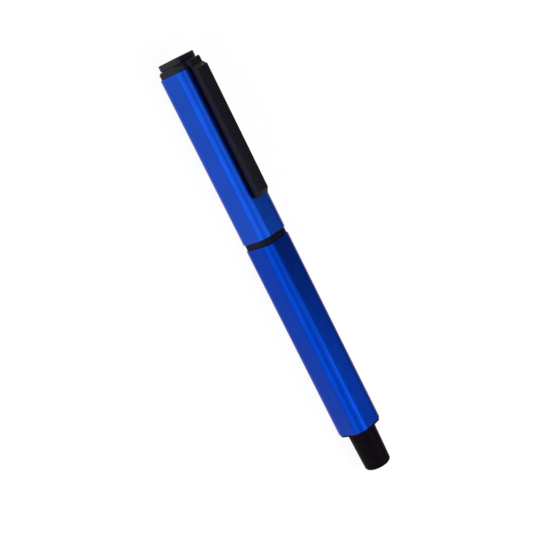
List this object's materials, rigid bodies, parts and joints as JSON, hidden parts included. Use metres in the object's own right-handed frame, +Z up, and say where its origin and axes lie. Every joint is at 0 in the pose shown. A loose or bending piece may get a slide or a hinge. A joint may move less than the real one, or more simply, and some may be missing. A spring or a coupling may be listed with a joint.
{
  "type": "capped rollerball pen",
  "caption": "Capped rollerball pen of rounded-square section with a bar clip, screw barrel, sprung refill and rolling ball.",
  "frame": {"origin": "middle of the capped pen's length and width, on the plane that its lower flat faces lie on", "axes": "+X along the pen towards the finial, +Z up through the clip, +Y across the pen"},
  "size_m": [0.14, 0.0116, 0.0148],
  "materials": {
    "barrel_lacquer": "satin",
    "thread_brass": "machined",
    "tail_black": "satin",
    "spring_steel": "drawn wire",
    "band_black": "satin",
    "seal_rubber": "matt",
    "section_black": "satin",
    "nose_chrome": "polished",
    "clutch_plastic": "smooth",
    "cap_lacquer": "satin",
    "liner_plastic": "moulded",
    "bush_brass": "machined",
    "collar_black": "satin",
    "clip_black": "satin",
    "finial_black": "satin",
    "end_plug_plastic": "moulded",
    "tube_plastic": "smooth",
    "follower_gel": "clear gel",
    "ink": "wet",
    "holder_plastic": "moulded",
    "cone_metal": "turned",
    "ball_metal": "ground"
  },
  "bodies": {
    "section": {"grip_section": "section_black", "centre_band": "band_black", "nose_ring": "nose_chrome"},
    "clutch": {"clutch_ring": "clutch_plastic"},
    "cap": {"cap_shell": "cap_lacquer", "inner_cap": "liner_plastic", "cap_bush": "bush_brass", "clip_collar": "collar_black", "finial": "finial_black"},
    "clip": {"clip_arm": "clip_black"},
    "seal": {"seal_ring": "seal_rubber"},
    "barrel": {"barrel_shell": "barrel_lacquer", "barrel_insert": "thread_brass", "tail_plug": "tail_black", "refill_spring": "spring_steel"},
    "refill": {"refill_tube": "tube_plastic", "refill_end_plug": "end_plug_plastic", "ink_follower": "follower_gel", "ink_column": "ink", "tip_holder": "holder_plastic", "point_cone": "cone_metal"},
    "ball": {"writing_ball": "ball_metal"}
  },
  "joints": [
    {"name": "cap_turn", "type": "hinge", "parent": "section", "child": "clutch", "pos_m": [0.014, 0, 0.0058], "axis": [1, 0, 0], "continuous": true},
    {"name": "cap_pull", "type": "slide", "parent": "clutch", "child": "cap", "axis": [1, 0, 0], "range_m": [0, 0.048]},
    {"name": "clip_flex", "type": "hinge", "parent": "cap", "child": "clip", "pos_m": [0.066, 0, 0.01324], "axis": [0, 1, 0], "range_deg": [0, 4], "stiffness_Nm_per_rad": 3.5},
    {"name": "barrel_turn", "type": "hinge", "parent": "section", "child": "seal", "pos_m": [0.0075, 0, 0.0058], "axis": [-1, 0, 0], "range_deg": [0, 1800]},
    {"name": "barrel_advance", "type": "slide", "parent": "seal", "child": "barrel", "axis": [-1, 0, 0], "range_m": [0, 0.005]},
    {"name": "refill_push", "type": "slide", "parent": "section", "child": "refill", "axis": [-1, 0, 0], "range_m": [0, 0.0006], "stiffness_N_per_m": 600, "springref_m": -0.0005, "deforming": ["refill_spring"]},
    {"name": "ball_roll", "type": "hinge", "parent": "refill", "child": "ball", "pos_m": [0.04535, 0, 0.0058], "axis": [0, 1, 0], "continuous": true}
  ],
  "couplings": [
    {"joint": "barrel_turn", "follows": "barrel_advance", "rad_per_m": 6283.2}
  ]
}
